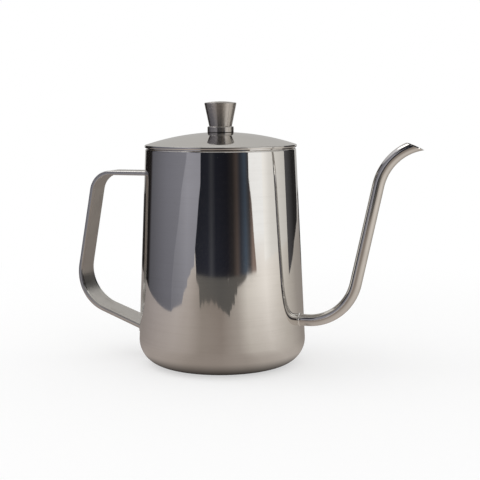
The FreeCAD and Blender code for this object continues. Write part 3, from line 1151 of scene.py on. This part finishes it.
def ring_plan(radius, first, last, steps):
    """Places in plan on a ring round the kettle between two bearings in degrees."""
    plan = []
    for step in range(steps + 1):
        angle = radians(first + (last - first) * step / steps)
        plan.append((radius * sin(angle), -radius * cos(angle)))
    return plan


def lay_floor_sheet(name, edge, stops, reach):
    """A dark sheet on the floor from an edge outwards; its reach is how many times further out it goes."""
    cloth = draw_row(name, stand(edge, mm))
    select_whole()
    draw_edges((0, 0, 0))
    bpy.ops.transform.resize(value=(reach, reach, 1), center_override=(0, 0, mm))
    only_mirrored(cloth, stops)


def mix_shaders(tree, share, first, second):
    """Two shaders mixed by a share."""
    return add_node(tree, "MixShader", {"Fac": share, 1: first, 2: second}).outputs["Shader"]


def table_glow(tree, place, reach):
    """The warm table top that reflections see, painted as a glow: a painted sheen of light on its right,
    painted shade darker near the kettle and a painted shadow under it.
    """
    # Painted light: far out on the right, bearings 56 to 116, the table is much lighter as a sheen from the
    # light there
    far_stops = [
        (-180, (0.27, 0.245, 0.225)), (-110, (0.31, 0.28, 0.27)), (-78, (0.42, 0.38, 0.375)),
        (-40, (0.53, 0.48, 0.46)), (-22, (0.48, 0.43, 0.40)), (-4, (0.31, 0.27, 0.24)),
        (21, (0.255, 0.215, 0.19)), (42, (0.43, 0.39, 0.355)), (56, (0.72, 0.675, 0.625)),
        (84, (0.94, 0.89, 0.84)), (116, (0.66, 0.62, 0.57)), (145, (0.38, 0.35, 0.32)),
        (180, (0.27, 0.245, 0.225)),
    ]
    # Painted shade: near the kettle the table is darker, as in its shadow
    near_stops = [
        (-180, (0.25, 0.218, 0.20)), (-110, (0.26, 0.226, 0.205)), (-70, (0.345, 0.30, 0.272)),
        (110, (0.345, 0.30, 0.272)), (150, (0.26, 0.226, 0.205)), (180, (0.25, 0.218, 0.20)),
    ]
    # Painted shade that darkens the table towards the kettle, blending the near colours into the far ones
    spread = add_node(tree, "FloatCurve", {"Value": reach})
    curve = spread.mapping.curves[0]
    curve.points[0].location = (0.04, 0.25)
    curve.points[1].location = (0.6, 1.0)
    for distance, share in ((0.15, 0.55), (0.3, 0.75)):
        curve.points.new(distance, share)
    spread.mapping.update()
    tone = add_node(tree, "Mix", {
        "Factor": spread.outputs["Value"],
        "A": bearing_colours(tree, place, near_stops),
        "B": bearing_colours(tree, place, far_stops),
    }, data_type="RGBA")
    # Painted shadow: the table goes dark under the kettle
    under = map_range(tree, reach, (0.034, 0.05), (0.08, 1.0), "SMOOTHSTEP")
    table = add_node(tree, "Emission", {"Color": tone.outputs["Result"], "Strength": under})
    return table.outputs["Emission"]


def make_floor():
    """A plain pale floor that fades to white, with a glowing warm table top in its place for reflections,
    which holds painted light and painted shade.
    """
    bpy.ops.mesh.primitive_circle_add(vertices=96, radius=6.0, fill_type="NGON", location=(0, 0, 0))
    floor = name_new("floor")
    material, tree, shader, place = new_material("floor")
    tree.nodes.remove(shader)
    reach = add_node(tree, "VectorMath", {0: place}, operation="LENGTH").outputs["Value"]
    pale = add_node(tree, "BsdfDiffuse", {"Color": (0.45, 0.45, 0.45, 1)}).outputs["BSDF"]
    lift = add_node(tree, "Emission", {"Strength": 0.55}).outputs["Emission"]
    near = add_node(tree, "AddShader", {0: pale, 1: lift}).outputs["Shader"]
    white = add_node(tree, "Emission").outputs["Emission"]
    fade = map_range(tree, reach, (0.12, 0.42), kind="SMOOTHSTEP")
    horizon = map_range(tree, reach, (0.6, 2.5), kind="SMOOTHSTEP")
    plain = mix_shaders(tree, fade, near, white)
    mirrored = mix_shaders(tree, horizon, table_glow(tree, place, reach), white)
    seen = mix_shaders(tree, add_node(tree, "LightPath").outputs["Is Glossy Ray"], plain, mirrored)
    feed(tree, tree.nodes["Material Output"], {"Surface": seen})
    floor.data.materials.append(material)


def make_left_cards():
    """Two grey cards on the left, the near one leaning over the far one."""
    near_stops = [
        (-116, (0.012, 0.010, 0.010)), (-101, (0.016, 0.014, 0.014)), (-95, (0.115, 0.115, 0.133)),
        (-60, (0.19, 0.19, 0.222)), (-20, (0.24, 0.24, 0.275)),
    ]
    near_foot = [
        (-0.36, 0.31), (-0.385, 0.11), (-0.366, 0.028), (-0.345, -0.06), (-0.308, -0.134), (-0.253, -0.224),
    ]
    near_ends = [
        (0.022, (-0.25, -0.225)), (0.048, (-0.232, -0.236)), (0.073, (-0.209, -0.261)),
        (0.098, (-0.19, -0.276)), (0.124, (-0.154, -0.298)), (0.32, (-0.14, -0.303)),
    ]
    raise_card("near_left_card", leaning_rows(near_foot, near_ends), near_stops, foot_share=0.85)
    far_stops = [(-45, (0.26, 0.26, 0.297)), (-26, (0.335, 0.335, 0.38)), (-10, (0.31, 0.31, 0.352))]
    far_foot = [
        (-0.27, -0.20), (-0.253, -0.224), (-0.262, -0.262), (-0.255, -0.293), (-0.225, -0.355),
        (-0.247, -0.432), (-0.235, -0.50), (-0.262, -0.572), (-0.245, -0.66), (-0.265, -0.74),
        (-0.223, -0.831),
    ]
    far_ends = [
        (0.03, (-0.211, -0.834)), (0.07, (-0.176, -0.842)), (0.12, (-0.136, -0.849)),
        (0.15, (-0.102, -0.854)), (0.42, (-0.09, -0.855)),
    ]
    far_rows = draw_nearer(leaning_rows(far_foot, far_ends), eye_height=0.07, distance=0.4)
    raise_card("far_left_card", far_rows, far_stops, foot_share=0.8)


def make_front_card():
    """A black card in front, and a dark sheet on the floor before it, which is a painted shadow of the card
    on the table.
    """
    black_stops = [
        (-20, (0.012, 0.013, 0.018)), (3, (0.017, 0.018, 0.025)), (8, (0.040, 0.041, 0.048)),
        (14, (0.013, 0.014, 0.020)), (30, (0.010, 0.010, 0.014)), (38, (0.022, 0.019, 0.019)),
        (44, (0.065, 0.05, 0.045)), (49, (0.028, 0.03, 0.038)), (56, (0.05, 0.066, 0.09)),
        (62, (0.05, 0.045, 0.045)), (66, (0.18, 0.135, 0.115)),
    ]
    radius = 0.87
    last_but_one = 60
    rows = []
    for height, first, last in (
        (0.0, -13, 71.0), (0.04, -16, 68.3), (0.09, -22, 65.6), (0.12, -22, 62.0), (0.45, -22, 61.5)
    ):
        plan = ring_plan(radius, first, last_but_one, 14) + ring_plan(radius, last, last, 1)[:1]
        rows.append(stand(plan, height))
    raise_card("front_card", rows, black_stops, foot_share=1.5)
    # Painted shadow of the black card: a dark sheet on the floor that only reflections see
    edge = [
        (-0.18, -0.761), (-0.135, -0.70), (-0.104, -0.662), (-0.08, -0.55), (-0.051, -0.421), (-0.035, -0.50),
        (-0.024, -0.466), (0.0, -0.51), (0.041, -0.483), (0.07, -0.52), (0.106, -0.467), (0.125, -0.49),
        (0.136, -0.42), (0.152, -0.43), (0.162, -0.381), (0.18, -0.37), (0.195, -0.313), (0.212, -0.35),
        (0.249, -0.359), (0.265, -0.40), (0.295, -0.368), (0.35, -0.47), (0.386, -0.432), (0.46, -0.50),
        (0.563, -0.465), (0.676, -0.451),
    ]
    front_shadow_stops = [(-20, (0.15, 0.14, 0.13)), (20, (0.105, 0.10, 0.095)), (60, (0.13, 0.12, 0.11))]
    lay_floor_sheet("front_painted_shadow", edge, front_shadow_stops, reach=2.2)


def make_back_cards():
    """A dark card that runs off behind on the right, and a dark cloth on the floor behind the kettle."""
    foot = [
        (0.411, 0.327), (0.407, 0.348), (0.41, 0.424), (0.406, 0.52), (0.412, 0.686), (0.309, 0.898),
        (0.242, 0.97), (0.214, 1.353),
    ]
    dark_stops = [(130, (0.078, 0.076, 0.08)), (152, (0.022, 0.021, 0.021))]
    raise_card("rear_right_card", [stand(foot, 0.0), stand(foot, 0.45)], dark_stops)
    lay_floor_sheet("back_cloth", ring_plan(0.4, 178, 245, 10), all_round((0.06, 0.056, 0.052)), reach=3.5)


def make_ring_cards():
    """Upright cards on rings round the kettle: tall ones on the left and in front, a pale one with a dim one
    above it on the right, and a pale panel behind, which the lid mirrors."""
    greys = [(20, (0.46, 0.45, 0.44)), (64, (0.50, 0.48, 0.46))]
    pales = [(86, (1.0, 0.98, 0.95)), (96, (0.80, 0.78, 0.75)), (130, (0.62, 0.60, 0.57))]
    dims = [(64, (0.30, 0.29, 0.28)), (140, (0.24, 0.23, 0.22))]
    for name, radius, first, last, steps, low, high, stops, top_share in (
        ("tall_side_card", 0.56, -135, -50, 10, 0.3, 0.75, all_round((0.09, 0.09, 0.095)), 15.0),
        ("tall_left_card", 0.89, -46, -14, 6, 0.3, 1.6, all_round((0.02, 0.02, 0.024)), 3.0),
        ("tall_front_card", 0.89, -14, 28, 8, 0.3, 1.6, all_round((0.03, 0.03, 0.03)), 12.0),
        ("upper_front_card", 0.9, 20, 64, 8, 0.4, 1.6, greys, 1.0),
        ("right_card", 1.0, 84, 134, 8, 0.0, 0.34, pales, 1.0),
        ("upper_right_card", 1.02, 64, 136, 10, 0.32, 0.8, dims, 1.0),
        ("back_card", 1.45, 158, 250, 10, 0.0, 1.36, all_round((0.48, 0.47, 0.455)), 1.18),
    ):
        plan = ring_plan(radius, first, last, steps)
        raise_card(name, [stand(plan, low), stand(plan, high)], stops, top_share=top_share)


def make_ceiling():
    """A dim ceiling over the kettle and behind it."""
    bpy.ops.mesh.primitive_circle_add(vertices=64, radius=1.3, fill_type="NGON", location=(0, 0.45, 1.7))
    only_mirrored(name_new("ceiling"), all_round((0.31, 0.295, 0.28)))


def make_lamp(name, place, size, power):
    """A square soft lamp that faces the kettle."""
    bpy.ops.object.light_add(type="AREA", location=place)
    lamp = bpy.context.active_object
    lamp.name = name
    lamp.data.size = size
    lamp.data.energy = power
    lamp.rotation_euler = (lamp_aim - Vector(place)).to_track_quat("-Z", "Y").to_euler()


def set_world():
    """White surroundings where they are seen or mirrored, and a plain soft level of light."""
    world = bpy.data.worlds.new("studio")
    bpy.context.scene.world = world
    world.use_nodes = True
    tree = world.node_tree
    rays = add_node(tree, "LightPath").outputs
    seen = math_node(tree, "MAXIMUM", rays["Is Camera Ray"], rays["Is Glossy Ray"])
    strength = map_range(tree, seen, target=(0.85, 1.0))
    feed(tree, tree.nodes["Background"], {"Color": (1, 1, 1, 1), "Strength": strength})


make_pieces()
make_floor()
make_left_cards()
make_front_card()
make_back_cards()
make_ring_cards()
make_ceiling()
make_lamp("left_softbox", place=(-0.63, -0.17, 1.06), size=0.7, power=2.3)
set_world()
set_camera()
bpy.context.scene.view_settings.view_transform = "Standard"
